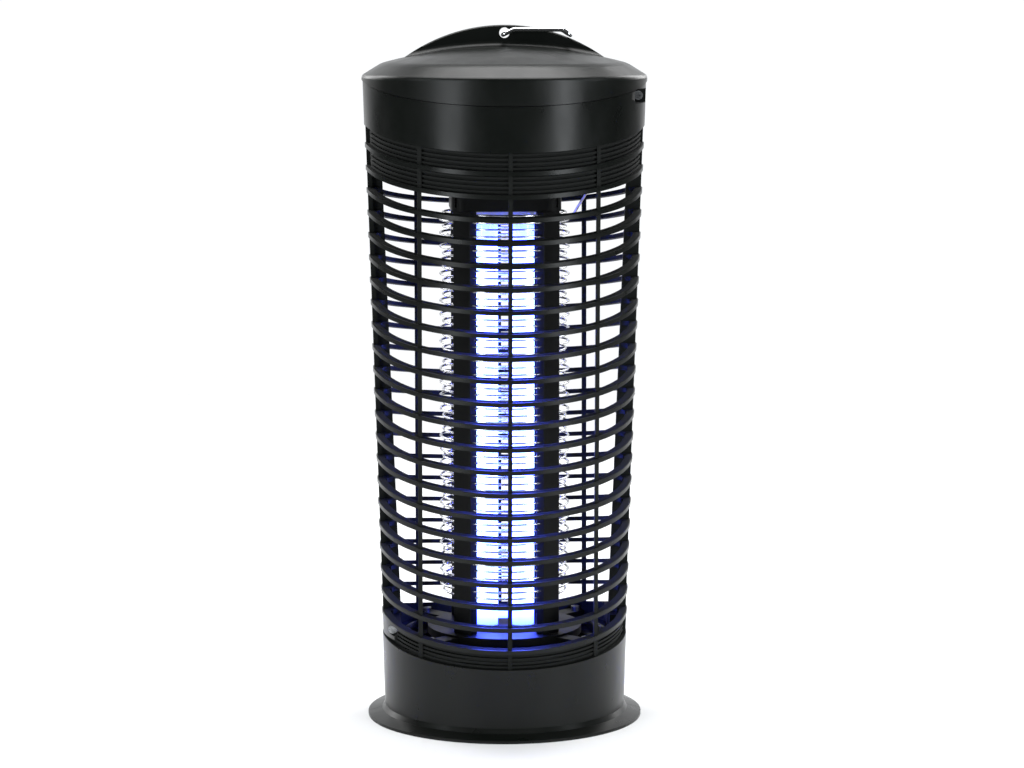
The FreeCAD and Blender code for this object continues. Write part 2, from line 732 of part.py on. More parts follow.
def make_loop():
    """The wire loop through the fin's eye, laid over along the fin."""
    half = SIZES["loop_half_width"]
    near = (SIZES["loop_pivot_x"], SIZES["loop_pivot_z"])
    far = (SIZES["loop_end_x"], SIZES["loop_end_z"])
    shoulder = (near[0] + 5.4, near[1] + 2.7)
    elbow = (far[0] - 4.2, far[1] + 2.8)
    side = [(near, 1.7), (shoulder, 5.0), (elbow, 5.0), (far, 2.0)]
    points = [Vector(x, half, z) for (x, z), _ in side]
    points += [Vector(x, -half, z) for (x, z), _ in reversed(side)]
    radii = [bend for _, bend in side]
    radii += list(reversed(radii))
    path = rounded_path(points, radii, closed=True)
    return tube_along("hanging_loop", path, SIZES["loop_wire"])


# -------------------------------------------------------------------- deck

def make_deck():
    """The round deck that closes the neck and carries the electrical parts."""
    disc = cylinder("deck_disc", "deck_radius", "deck_seat", "deck_seat + deck_thick")
    top = "deck_seat + deck_thick"
    standoffs = []
    for x in (-28, 28):
        for y in (-40, -16):
            standoffs.append(cylinder(f"standoff_{len(standoffs)}", "standoff_radius",
                                      "deck_seat + 1", f"{top} + standoff_height", str(x), str(y)))
    solid = fuse("deck_solid", disc, *standoffs)
    holes = [cylinder(f"deck_hole_{number}", "screw_clearance", "deck_seat - 1", f"{top} + 1", x, y)
             for number, (x, y) in enumerate(boss_places())]
    holes.append(box("wire_slot", ("-9", "9"), ("-4", "4"), ("deck_seat - 1", f"{top} + 1")))
    for number, (x, y) in enumerate(LEAD_FEET):
        holes.append(cylinder(f"lead_hole_{number}", "1.4", "deck_seat - 1", f"{top} + 1", str(x), str(y)))
    corners = [box("deck_corner_right", ("notch_side - 5", "80"), ("-45", "45"),
                   ("deck_seat - 1", f"{top} + 1")),
               box("deck_corner_left", ("-80", "-notch_side + 5"), ("-45", "45"),
                   ("deck_seat - 1", f"{top} + 1"))]
    return cut("deck", solid, group("deck_openings", *holes, *corners))




def make_deck_screws():
    """Screws from under the deck into the lid's bosses."""
    screws = [screw(f"deck_screw_{number}", "screw_radius - 0.02", "deck_thick + 9", "screw_head_radius",
                    "screw_head_height", x, y, "deck_seat", "-Z")
              for number, (x, y) in enumerate(boss_places())]
    return group("deck_screws", *screws)


def make_ballast():
    """A choke ballast: a laminated core and the coil through its window."""
    top = "deck_seat + deck_thick"
    core = box("core_block", ("-28", "28"), ("14", "44"), (f"{top} + 0.1", f"{top} + 26"))
    channel = box("core_window", ("-17", "17"), ("4", "54"), (f"{top} + 5", f"{top} + 21"))
    coil_block = box("coil_block", ("-16.6", "16.6"), ("9", "49"), (f"{top} + 5.4", f"{top} + 20.6"))
    coil = fillet("ballast_coil", coil_block, 3.0, lambda edge: edge.BoundBox.ZLength > 10)
    node("ballast_core", cut("ballast_core", core, channel))
    node("ballast_coil", coil)


def make_board():
    """The voltage multiplier board with its parts."""
    low = "deck_seat + deck_thick + standoff_height"
    high = f"{low} + 1.6"
    node("circuit_board", box("circuit_board", ("-34", "34"), ("-45", "-11"), (low, high)))
    blocks = []
    for number, x in enumerate((-26, -12, 2, 16)):
        block = box(f"capacitor_block_{number}", (str(x), str(x + 9)), ("-43", "-25"),
                    (high, f"{high} + 13"))
        blocks.append(fillet(f"capacitor_{number}", block, 1.5,
                             lambda edge: edge.BoundBox.ZLength > 10))
    node("board_capacitors", group("board_capacitors", *blocks))
    diodes = [cylinder_x(f"diode_{number}", "1.6", str(x), str(x + 6), "-20", f"{high} + 1.6")
              for number, x in enumerate((-26, -16, -6, 4, 14))]
    node("board_diodes", group("board_diodes", *diodes))
    node("bleed_resistor", cylinder_x("bleed_resistor", "2.4", "-22", "-4", "-14.5", f"{high} + 2.4"))


def make_terminals():
    """The mains terminal block and its two clamp screws."""
    low = "deck_seat + deck_thick"
    block = box("terminal_body", ("36", "56"), ("18", "30"), (low, f"{low} + 12"))
    wells = [cylinder(f"terminal_well_{number}", "2.2", f"{low} + 6", f"{low} + 13", str(x), "24")
             for number, x in enumerate((41, 51))]
    node("terminal_block", cut("terminal_block", block, group("terminal_wells", *wells)))
    screws = [screw(f"clamp_screw_{number}", "1.4", "0.1", "1.9", "3", str(x), "24", f"{low} + 6.1", "+Z")
              for number, x in enumerate((41, 51))]
    node("terminal_screws", group("terminal_screws", *screws))


def make_gland():
    """The square cord inlet bushing, held in the rear shell's slot by the lid, with an open bore."""
    wall_out = "gland_flange_out - gland_flange_thick"
    collar_end = "gland_inner + 5.6"
    flange = box("gland_flange", ("-gland_flange_half", "gland_flange_half"),
                 (wall_out, "gland_flange_out"), ("gland_level - gland_flange_half", "gland_top"))
    barrel = box("gland_barrel", ("-gland_body_half", "gland_body_half"),
                 (collar_end, wall_out), ("gland_level - gland_body_half", "gland_top"))
    collar = cylinder_y("gland_collar", "gland_collar_radius", "gland_inner", collar_end, "0",
                        "gland_level")
    bore = cylinder_y("gland_bore", "gland_bore_radius", "gland_inner - 1", "gland_flange_out + 1", "0",
                      "gland_level")
    return cut("cord_gland", fuse("gland_solid", flange, barrel, collar), bore)


# -------------------------------------------------------------------- grid

def make_grid_wires(name, radius, first, count):
    """Every second ring of the grid, as a group of separate rings."""
    rings = []
    for index in range(count):
        ring = doc.addObject("Part::Torus", f"{name}_{index}")
        bind(ring, Radius1=radius, Radius2="grid_wire / 2")
        rings.append(place(ring, z=f"grid_first + ({first} + 2 * {index}) * grid_pitch"))
    return group(name, *rings)


def make_posts():
    """Four insulating posts between the lower plate and the head."""
    azimuth = SIZES["post_azimuth"]
    angles = {"front_right": azimuth - 90, "rear_right": 90 - azimuth, "rear_left": 90 + azimuth,
              "front_left": 270 - azimuth}
    for corner, angle in angles.items():
        post = doc.addObject("Part::Box", f"post_{corner}")
        bind(post, Length="post_size", Width="post_width", Height="head_low - plate_low - plate_thick")
        turn(post, Z_AXIS, angle)
        outward = FreeCAD.Rotation(Z_AXIS, angle).multVec(X_AXIS)
        inner = "(post_middle - post_size / 2)"
        place(post, f"{inner} * {outward.x} + post_width / 2 * {outward.y}",
              f"{inner} * {outward.y} - post_width / 2 * {outward.x}", "plate_low + plate_thick")
        node(f"grid_post_{corner}", post)


def make_grid_head():
    """The square head that holds the posts, the socket and the lamp's base."""
    half = "head_size / 2"
    block = box("head_block", (f"-{half}", half), (f"-{half}", half), ("head_low", "deck_seat"))
    rounded = fillet("head_rounded", block, SIZES["head_corner"],
                     lambda edge: edge.BoundBox.ZLength > 20)
    inner = f"({half} - head_wall)"
    hollow = box("head_hollow", (f"-{inner}", inner), (f"-{inner}", inner),
                 ("head_low + head_wall", "deck_seat + 1"))
    mouth = box("head_mouth", ("-lamp_base_length / 2 - 0.6", "lamp_base_length / 2 + 0.6"),
                ("-lamp_base_width / 2 - 0.6", "lamp_base_width / 2 + 0.6"),
                ("head_low - 1", "head_low + head_wall + 1"))
    return cut("grid_head", rounded, fuse("head_openings", hollow, mouth))


def make_lower_plate():
    """The lower insulating plate, with four spokes that rest on the funnel."""
    disc = cylinder("plate_disc", "plate_radius", "plate_low", "plate_low + plate_thick")
    spokes = []
    for index in range(2):
        spoke = doc.addObject("Part::Box", f"spoke_{index}")
        bind(spoke, Length="2 * spoke_reach", Width="spoke_width", Height="spoke_thick")
        angle = 45 + 90 * index
        turn(spoke, Z_AXIS, angle)
        toward = FreeCAD.Rotation(Z_AXIS, angle)
        along = toward.multVec(Vector(1, 0, 0))
        across = toward.multVec(Vector(0, 0.5, 0))
        spokes.append(place(spoke, f"-spoke_reach * {along.x} - spoke_width * {across.x}",
                            f"-spoke_reach * {along.y} - spoke_width * {across.y}", "plate_low"))
    solid = fuse("plate_solid", disc, *spokes)
    holes = [cylinder(f"plate_hole_{number}", "screw_clearance", "plate_low - 1",
                      "plate_low + plate_thick", x, y) for number, (x, y) in enumerate(spoke_places())]
    for side in (-1, 1):
        holes.append(cylinder(f"tube_cup_{side > 0}", "tube_radius + 0.4", "tube_low - 0.2",
                              "plate_low + plate_thick + 1", f"{side} * tube_spread"))
    return cut("lower_grid_plate", solid, group("plate_holes", *holes))


def spoke_places():
    """Formulas for the screws through the ends of the spokes."""
    reach = "plate_screw_ring * sqrt(0.5)"
    return [(f"{across} * ({reach})", f"{along} * ({reach})")
            for across, along in ((1, 1), (-1, 1), (-1, -1), (1, -1))]


def make_plate_screws():
    """Short screws from the spokes into the funnel ring's flange."""
    top = "plate_low + spoke_thick"
    screws = [screw(f"plate_screw_{number}", "screw_radius - 0.02", "spoke_thick + funnel_thick",
                    "screw_head_radius", "screw_head_height", x, y, top, "+Z")
              for number, (x, y) in enumerate(spoke_places())]
    return group("plate_screws", *screws)


def make_bus_bars():
    """One upright rod for each set of grid rings, at the back of the grid."""
    top = "head_low"
    low = "grid_first - 2"
    inner = "(inner_grid_radius - grid_wire / 2 - bus_radius - 0.02)"
    outer = "(outer_grid_radius + grid_wire / 2 + bus_radius + 0.02)"
    node("inner_bus_bar", cylinder("inner_bus_bar", "bus_radius", low, top,
                                   f"-{inner} * sin(20 * 1 deg)", f"{inner} * cos(20 * 1 deg)"))
    node("outer_bus_bar", cylinder("outer_bus_bar", "bus_radius", low, top,
                                   f"{outer} * sin(20 * 1 deg)", f"{outer} * cos(20 * 1 deg)"))


def make_grid_leads():
    """The two bare leads from the deck, one to the top ring of each set."""
    top = SIZES["deck_seat"] + SIZES["deck_thick"] + 2
    reach = (SIZES["grid_wire"] + LEAD_DIAMETER) / 2 + 0.05
    last = SIZES["grid_first"] + (SIZES["grid_rings"] - 1) * SIZES["grid_pitch"]
    beside = SIZES["inner_grid_radius"] + reach
    foot_x = LEAD_FEET[1][0]
    ends = {
        "right_grid_lead": (SIZES["outer_grid_radius"] + reach, 0.0, last - SIZES["grid_pitch"]),
        "rear_grid_lead": (foot_x, math.sqrt(beside ** 2 - foot_x ** 2), last),
    }
    for (name, end), (x, y) in zip(ends.items(), LEAD_FEET):
        end = Vector(*end)
        toward = Vector(end.x - x, end.y - y, 0).normalize() * 5.6
        points = [Vector(x, y, top), Vector(x, y, top - 14),
                  Vector(x, y, top - 21) + toward, end]
        path = rounded_path(points, [0, 4.0, 4.0, 0])
        node(name, tube_along(name, path, LEAD_DIAMETER))


# --------------------------------------------------------- funnel and tray

def make_funnel():
    """The ring that guides falling insects from the wall into the tray."""
    flange = cylinder("funnel_disc", "funnel_radius", "funnel_seat", "funnel_seat + funnel_thick")
    outer = cone("funnel_cone", "funnel_mouth + 1.6", "funnel_flange + 1.6",
                 "funnel_seat - funnel_depth", "funnel_seat + 0.1")
    inner = cone("funnel_throat", "funnel_mouth", "funnel_flange",
                 "funnel_seat - funnel_depth", "funnel_seat + funnel_thick")
    ring = cut("funnel_hollow", fuse("funnel_solid", flange, outer), inner)
    holes = [cylinder(f"funnel_hole_{number}", "screw_radius", "funnel_seat - 8",
                      "funnel_seat + funnel_thick + 1", x, y)
             for number, (x, y) in enumerate(spoke_places())]
    return cut("funnel_ring", ring, group("funnel_holes", *holes))


def make_tray():
    """The round tray that pulls down out of the base, with a finger grip."""
    outer = cylinder("tray_outer", "tray_radius", "tray_low", "tray_top")
    inner = cylinder("tray_inner", "tray_radius - tray_wall", "tray_low + tray_wall", "tray_top + 1")
    dome = cylinder("tray_island", "tray_recess_radius + tray_wall", "tray_low",
                    "tray_low + tray_recess_height + tray_wall")
    rim = cylinder("tray_rim", "tray_rim_radius", "tray_low", "tray_low + tray_rim_height")
    cup = fuse("tray_cup", cut("tray_bowl", fuse("tray_walls", outer, rim), inner), dome)
    recess = cylinder("tray_recess", "tray_recess_radius", "tray_low - 1", "tray_low + tray_recess_height")
    grip = box("tray_grip", ("-tray_recess_radius - 1", "tray_recess_radius + 1"),
               ("-grip_width / 2", "grip_width / 2"), ("tray_low", "tray_low + tray_recess_height + 0.5"))
    return fuse("insect_tray", cut("tray_hollow", cup, recess), grip)


# -------------------------------------------------------------------- lamp

def make_lamp():
    """A twin-tube lamp with its base up, its pins and its socket."""
    tubes = []
    bores = []
    for side in (-1, 1):
        x = f"{side} * tube_spread"
        tube = cylinder(f"tube_{side > 0}", "tube_radius", "tube_low", "tube_high", x)
        tubes.append(fillet(f"tube_end_{side > 0}", tube, 1.6,
                            lambda edge: edge.BoundBox.ZMax < SIZES["tube_low"] + 1))
        bores.append(cylinder(f"tube_bore_{side > 0}", "tube_radius - tube_wall",
                              "tube_low + 2 * tube_wall", "tube_high - 1", x))
    bridge = cylinder_x("bridge", "bridge_radius", "-tube_spread", "tube_spread", "0", "bridge_level")
    bridge_bore = cylinder_x("bridge_bore", "bridge_radius - tube_wall", "-tube_spread", "tube_spread",
                             "0", "bridge_level")
    glass = cut("lamp_glass", fuse("lamp_outside", *tubes, bridge),
                fuse("lamp_inside", *bores, bridge_bore))
    node("lamp_glass", glass)

    shell = box("base_block", ("-lamp_base_length / 2", "lamp_base_length / 2"),
                ("-lamp_base_width / 2", "lamp_base_width / 2"), ("lamp_base_low", "lamp_base_high"))
    rounded = fillet("base_rounded", shell, 4.0, lambda edge: edge.BoundBox.ZLength > 10)
    sockets = [cylinder(f"tube_seat_{side > 0}", "tube_radius + 0.05", "lamp_base_low - 1",
                        "tube_high + 0.05", f"{side} * tube_spread") for side in (-1, 1)]
    node("lamp_base", cut("lamp_base", rounded, group("tube_seats", *sockets)))
    pins = [cylinder(f"pin_{side > 0}", "pin_radius", "lamp_base_high", "lamp_base_high + pin_length",
                     f"{side} * pin_spread") for side in (-1, 1)]
    node("lamp_pins", group("lamp_pins", *pins))

    block = box("socket_block", ("-socket_length / 2", "socket_length / 2"),
                ("-socket_width / 2", "socket_width / 2"), ("lamp_base_high + 0.2", "deck_seat"))
    holes = [cylinder(f"pin_hole_{side > 0}", "pin_radius + 0.15", "lamp_base_high",
                      "lamp_base_high + pin_length + 1", f"{side} * pin_spread") for side in (-1, 1)]
    node("lamp_socket", cut("lamp_socket", block, group("pin_holes", *holes)))


# ---------------------------------------------------------------- assembly

front_shell = node("front_shell", make_front_shell())
node("rear_shell", make_rear_shell(front_shell))
node("shell_screws", make_shell_screws())
node("lid", make_lid())
node("hanging_loop", make_loop())
node("deck", make_deck())
node("deck_screws", make_deck_screws())
make_ballast()
make_board()
make_terminals()
node("cord_gland", make_gland())
inner_count = (SIZES["grid_rings"] + 1) // 2
node("inner_grid_wires", make_grid_wires("inner_grid_wires", "inner_grid_radius", 0, inner_count))
node("outer_grid_wires", make_grid_wires("outer_grid_wires", "outer_grid_radius", 1,
                                         SIZES["grid_rings"] - inner_count))
make_posts()
node("grid_head", make_grid_head())
node("lower_grid_plate", make_lower_plate())
node("plate_screws", make_plate_screws())
make_bus_bars()
make_grid_leads()
node("funnel_ring", make_funnel())
node("insect_tray", make_tray())
make_lamp()

doc.recompute()
faulty = [item.Name for item in doc.Objects if {"Invalid", "Error"} & set(item.State)]
if faulty:
    raise RuntimeError(f"not built: {faulty}")
for name, item in NODES.items():
    if item.Shape.isNull() or not item.Shape.isValid() or not item.Shape.Solids:
        raise RuntimeError(f"{name} has no valid solid")

os.makedirs("parts", exist_ok=True)
for name, item in NODES.items():
    item.Shape.exportStep(os.path.join("parts", name + ".step"))
    frame = item.Shape.BoundBox
    print(f"{name}: {len(item.Shape.Solids)} solids, {item.Shape.Volume:.0f} mm3,"
          f" z {frame.ZMin:.1f} to {frame.ZMax:.1f}")
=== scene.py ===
import math

import bmesh
import bpy
from mathutils import Euler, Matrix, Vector


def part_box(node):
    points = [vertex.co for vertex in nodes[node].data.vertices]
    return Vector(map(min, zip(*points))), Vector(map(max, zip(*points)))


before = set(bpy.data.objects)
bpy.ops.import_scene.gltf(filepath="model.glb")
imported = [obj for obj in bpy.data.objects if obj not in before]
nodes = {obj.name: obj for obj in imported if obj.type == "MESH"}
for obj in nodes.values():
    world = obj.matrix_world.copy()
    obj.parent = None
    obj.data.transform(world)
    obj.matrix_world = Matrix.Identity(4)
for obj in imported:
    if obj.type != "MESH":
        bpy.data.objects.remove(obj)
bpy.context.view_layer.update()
MM = 0.001


# ---------------------------------------------------------------- materials

class Graph:
    """A new node material with a Principled shader, and short calls to add nodes to it."""

    def __init__(self, name):
        self.material = bpy.data.materials.new(name)
        self.material.use_nodes = True
        self.tree = self.material.node_tree
        self.shader = self.tree.nodes["Principled BSDF"]
        self.coordinates = self.tree.nodes.new("ShaderNodeTexCoord").outputs["Object"]

    def add(self, kind, **settings):
        """A new shader node with some of its settings."""
        made = self.tree.nodes.new(kind)
        for name, value in settings.items():
            setattr(made, name, value)
        return made

    def link(self, output, socket):
        self.tree.links.new(output, socket)

    def stretched(self, scale):
        """Object coordinates scaled differently along X, Y and Z."""
        mapping = self.add("ShaderNodeMapping")
        mapping.inputs["Scale"].default_value = scale
        self.link(self.coordinates, mapping.inputs["Vector"])
        return mapping.outputs["Vector"]

    def noise(self, scale, detail=2.0, roughness=0.5, vector=None):
        """A noise texture, over the object's own coordinates unless others are given."""
        made = self.add("ShaderNodeTexNoise")
        made.inputs["Scale"].default_value = scale
        made.inputs["Detail"].default_value = detail
        made.inputs["Roughness"].default_value = roughness
        self.link(vector or self.coordinates, made.inputs["Vector"])
        return made.outputs["Fac"]

    def spread(self, source, low, high, start=0.3, finish=0.7):
        """Map a texture's start to finish onto low to high."""
        made = self.add("ShaderNodeMapRange")
        for name, value in (("From Min", start), ("From Max", finish), ("To Min", low), ("To Max", high)):
            made.inputs[name].default_value = value
        self.link(source, made.inputs["Value"])
        return made.outputs["Result"]

    def mix(self, factor, first, second):
        """A colour between two colours; either may be an output or three numbers."""
        made = self.add("ShaderNodeMix", data_type="RGBA")
        colours = [socket for socket in made.inputs if socket.type == "RGBA"]
        for socket, colour in zip(colours, (first, second)):
            if isinstance(colour, bpy.types.NodeSocket):
                self.link(colour, socket)
            else:
                socket.default_value = (*colour, 1.0)
        self.link(factor, made.inputs["Factor"])
        return [socket for socket in made.outputs if socket.type == "RGBA"][0]

    def arithmetic(self, operation, first, second):
        """One arithmetic step; either value may be an output or a number."""
        made = self.add("ShaderNodeMath", operation=operation)
        for socket, value in zip(made.inputs, (first, second)):
            if isinstance(value, bpy.types.NodeSocket):
                self.link(value, socket)
            else:
                socket.default_value = value
        return made.outputs[0]

    def blend(self, factor, first, second):
        """first where factor is 0 and second where it is 1."""
        step = self.arithmetic("SUBTRACT", second, first)
        return self.arithmetic("ADD", first, self.arithmetic("MULTIPLY", step, factor))

    def height(self):
        """How high a point lies on the object."""
        split = self.add("ShaderNodeSeparateXYZ")
        self.link(self.coordinates, split.inputs["Vector"])
        return split.outputs["Z"]

    def depth_in_cone(self, floor_radius, widening):
        """How far a point lies inside an upright cone, measured level."""
        level = self.add("ShaderNodeVectorMath", operation="MULTIPLY")
        level.inputs[1].default_value = (1.0, 1.0, 0.0)
        self.link(self.coordinates, level.inputs[0])
        from_axis = self.add("ShaderNodeVectorMath", operation="LENGTH")
        self.link(level.outputs[0], from_axis.inputs[0])
        widened = self.arithmetic("MULTIPLY", self.height(), widening)
        cone_radius = self.arithmetic("ADD", widened, floor_radius)
        return self.arithmetic("SUBTRACT", cone_radius, from_axis.outputs["Value"])

    def bump(self, height, strength, distance, below=None):
        """Surface relief, laid over another relief if one is given."""
        made = self.add("ShaderNodeBump")
        made.inputs["Strength"].default_value = strength
        made.inputs["Distance"].default_value = distance
        self.link(height, made.inputs["Height"])
        if below is not None:
            self.link(below, made.inputs["Normal"])
        return made.outputs["Normal"]

    def give(self, name, value):
        """Set or link one of the shader's own sockets."""
        socket = self.shader.inputs[name]
        if isinstance(value, bpy.types.NodeSocket):
            self.link(value, socket)
        else:
            socket.default_value = value


def shade(colour, factor):
    """A colour made lighter or darker."""
    return tuple(min(1.0, channel * factor) for channel in colour)


DULL_ROUGHNESS = 0.72
DULL_DEPTHS = (0.4 * MM, 0.9 * MM)


def moulded(name, colour, roughness, grain=0.12, specular=0.5, drift=0.2, grain_size=0.35 * MM,
            polished_cone=None):
    """Moulded plastic: eroded mould grain, slow colour drift and scuffs that show in the gloss.

    With a polished cone (floor radius, widening), only the faces that lie on
    that cone are glossy, and the deeper faces are dull from the mould.
    """
    graph = Graph(name)
    cloudy = graph.noise(14.0, 3.0)
    scuffs = graph.noise(70.0, 3.0, 0.5, graph.stretched((1.0, 1.0, 0.6)))
    grain_height = graph.noise(1.0 / grain_size, 2.0, 0.6)
    flow = graph.noise(30.0, 2.0, 0.5, graph.stretched((1.0, 1.0, 0.35)))
    graph.give("Base Color", graph.mix(graph.spread(cloudy, 0.0, 1.0), shade(colour, 1 - drift),
                                       shade(colour, 1 + drift)))
    gloss = graph.spread(scuffs, roughness - 0.03, roughness + 0.06)
    if polished_cone:
        depth = graph.depth_in_cone(*polished_cone)
        dull = graph.spread(depth, 0.0, 1.0, *DULL_DEPTHS)
        gloss = graph.blend(dull, gloss, DULL_ROUGHNESS)
    graph.give("Roughness", gloss)
    graph.give("Specular IOR Level", specular)
    wavy = graph.bump(flow, 0.06, 0.2 * MM)
    graph.give("Normal", graph.bump(grain_height, grain, 0.05 * MM, wavy))
    return graph.material


def drawn_metal(name, colour, roughness, streak=60.0, tarnish=0.25):
    """Drawn or plated metal: fine streaks, a little tarnish and small pits."""
    graph = Graph(name)
    streaks = graph.noise(streak, 4.0, 0.6, graph.stretched((6.0, 6.0, 30.0)))
    stains = graph.noise(180.0, 4.0, 0.6)
    pits = graph.noise(2600.0, 2.0, 0.5)
    graph.give("Base Color", graph.mix(graph.spread(stains, 0.0, 1.0, 0.45, 0.75), colour,
                                       shade(colour, 1 - tarnish)))
    graph.give("Metallic", 1.0)
    graph.give("Roughness", graph.spread(streaks, roughness * 0.7, roughness * 1.4))
    graph.give("Normal", graph.bump(pits, 0.1, 0.03 * MM))
    return graph.material


DIM_LOW_END = 16 * MM
DIM_HIGH_END = 26 * MM


def lit_glass(name, low, high):
    """A lit fluorescent tube: evenly bright, and deeper blue and dimmer towards its two ends."""
    graph = Graph(name)
    height = graph.height()
    from_low = graph.spread(height, 0.0, 1.0, low, low + DIM_LOW_END)
    from_high = graph.spread(height, 0.0, 1.0, high, high - DIM_HIGH_END)
    lit = graph.arithmetic("MULTIPLY", from_low, from_high)
    powder = graph.noise(420.0, 3.0, 0.55)
    patchy = graph.arithmetic("MULTIPLY", lit, graph.spread(powder, 0.92, 1.08))
    graph.give("Base Color", graph.mix(graph.spread(powder, 0.0, 1.0), (0.72, 0.8, 0.96), (0.82, 0.88, 1.0)))
    graph.give("Roughness", 0.12)
    graph.give("Coat Weight", 0.6)
    graph.give("Coat Roughness", 0.05)
    graph.give("Emission Color", graph.mix(lit, (0.03, 0.06, 1.0), (0.06, 0.1, 1.0)))
    graph.give("Emission Strength", graph.spread(patchy, 6.0, 40.0, 0.0, 1.0))
    return graph.material


def laminated(name):
    """A varnished stack of steel sheets."""
    graph = Graph(name)
    sheets = graph.add("ShaderNodeTexWave", wave_type="BANDS", bands_direction="Y")
    sheets.inputs["Scale"].default_value = 320.0
    sheets.inputs["Distortion"].default_value = 0.6
    graph.link(graph.coordinates, sheets.inputs["Vector"])
    varnish = graph.noise(90.0, 3.0)
    bands = sheets.outputs["Fac"]
    graph.give("Base Color", graph.mix(bands, (0.03, 0.028, 0.03), (0.16, 0.15, 0.15)))
    graph.give("Metallic", 0.7)
    graph.give("Roughness", graph.spread(varnish, 0.3, 0.55))
    graph.give("Normal", graph.bump(bands, 0.5, 0.1 * MM))
    return graph.material


def wound(name):
    """Layers of enamelled copper wire."""
    graph = Graph(name)
    turns = graph.add("ShaderNodeTexWave", wave_type="BANDS", bands_direction="X")
    turns.inputs["Scale"].default_value = 700.0
    turns.inputs["Distortion"].default_value = 1.2
    turns.inputs["Detail Scale"].default_value = 0.4
    graph.link(graph.coordinates, turns.inputs["Vector"])
    bands = turns.outputs["Fac"]
    graph.give("Base Color", graph.mix(bands, (0.22, 0.07, 0.025), (0.62, 0.26, 0.1)))
    graph.give("Metallic", 0.85)
    graph.give("Roughness", graph.spread(graph.noise(200.0), 0.25, 0.42))
    graph.give("Normal", graph.bump(bands, 0.7, 0.15 * MM))
    return graph.material


def printed_board(name):
    """Green solder mask over copper tracks."""
    graph = Graph(name)
    tracks = graph.add("ShaderNodeTexBrick")
    tracks.inputs["Scale"].default_value = 150.0
    tracks.inputs["Mortar Size"].default_value = 0.03
    tracks.inputs["Color1"].default_value = (0.02, 0.13, 0.05, 1)
    tracks.inputs["Color2"].default_value = (0.025, 0.16, 0.06, 1)
    tracks.inputs["Mortar"].default_value = (0.04, 0.24, 0.09, 1)
    graph.link(graph.coordinates, tracks.inputs["Vector"])
    graph.give("Base Color", graph.mix(graph.spread(graph.noise(60.0), 0.0, 0.4), tracks.outputs["Color"],
                                       (0.015, 0.09, 0.035)))
    graph.give("Roughness", graph.spread(graph.noise(240.0, 3.0), 0.25, 0.4))
    graph.give("Normal", graph.bump(tracks.outputs["Fac"], 0.4, 0.05 * MM))
    return graph.material


SHELL_EDGE = 0.28 * MM
INNER_EDGE = 0.3 * MM
SHARP_ANGLE = math.radians(32.0)


def softened(node, width):
    """Round a CAD node's sharp edges a little, as a mould leaves them."""
    weld = node.modifiers.new("weld", "WELD")
    weld.merge_threshold = 0.002 * MM
    bevel = node.modifiers.new("edge_radius", "BEVEL")
    bevel.width = width
    bevel.segments = 2
    bevel.limit_method = "ANGLE"
    bevel.angle_limit = SHARP_ANGLE
    normals = node.modifiers.new("even_normals", "WEIGHTED_NORMAL")
    normals.mode = "FACE_AREA_WITH_ANGLE"
    normals.weight = 100


def finish_node(name, material):
    """Give a CAD node one material over its whole surface."""
    mesh = nodes[name].data
    if len(mesh.materials) == 0:
        mesh.materials.append(material)
    for index in range(len(mesh.materials)):
        mesh.materials[index] = material


BLACK = (0.0026, 0.0036, 0.0028)
SHELL_CONE = (0.0622, 0.0309)
housing = moulded("housing_plastic", BLACK, 0.29, grain=0.13, specular=0.22, polished_cone=SHELL_CONE)
lid_black = moulded("lid_plastic", BLACK, 0.32, grain=0.13, specular=0.26)
inner_black = moulded("insulator_plastic", (0.004, 0.0045, 0.0045), 0.42, grain=0.16, specular=0.15)
tray_black = moulded("tray_plastic", (0.0055, 0.006, 0.0062), 0.38, grain=0.14, specular=0.32)
glossy_black = moulded("funnel_plastic", (0.0055, 0.006, 0.008), 0.14, grain=0.05)
white_plastic = moulded("collar_plastic", (0.68, 0.72, 0.8), 0.34, grain=0.08, drift=0.06)
cream_plastic = moulded("terminal_plastic", (0.62, 0.6, 0.54), 0.38, grain=0.1, drift=0.08)
rubber = moulded("gland_rubber", (0.012, 0.012, 0.0125), 0.62, grain=0.35, specular=0.3, drift=0.25,
                 grain_size=0.5 * MM)
dipped = moulded("capacitor_coat", (0.36, 0.045, 0.02), 0.22, grain=0.1, grain_size=0.9 * MM)
diode_black = moulded("diode_moulding", (0.012, 0.012, 0.012), 0.3, grain=0.1)
resistor_coat = moulded("resistor_coat", (0.46, 0.33, 0.2), 0.45, grain=0.25, specular=0.4, drift=0.15)
chrome = drawn_metal("loop_chrome", (0.82, 0.83, 0.85), 0.09, 40.0, 0.12)
zinc = drawn_metal("screw_zinc", (0.34, 0.35, 0.36), 0.3, 120.0, 0.35)
bright_wire = drawn_metal("grid_wire", (0.8, 0.81, 0.84), 0.16, 90.0, 0.2)
tinned = drawn_metal("lead_wire", (0.74, 0.66, 0.52), 0.42, 90.0, 0.3)
brass = drawn_metal("pin_brass", (0.72, 0.55, 0.25), 0.24, 90.0, 0.3)
lamp_low, lamp_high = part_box("lamp_glass")
lamp_light = lit_glass("lamp_light", lamp_low[2], lamp_high[2])

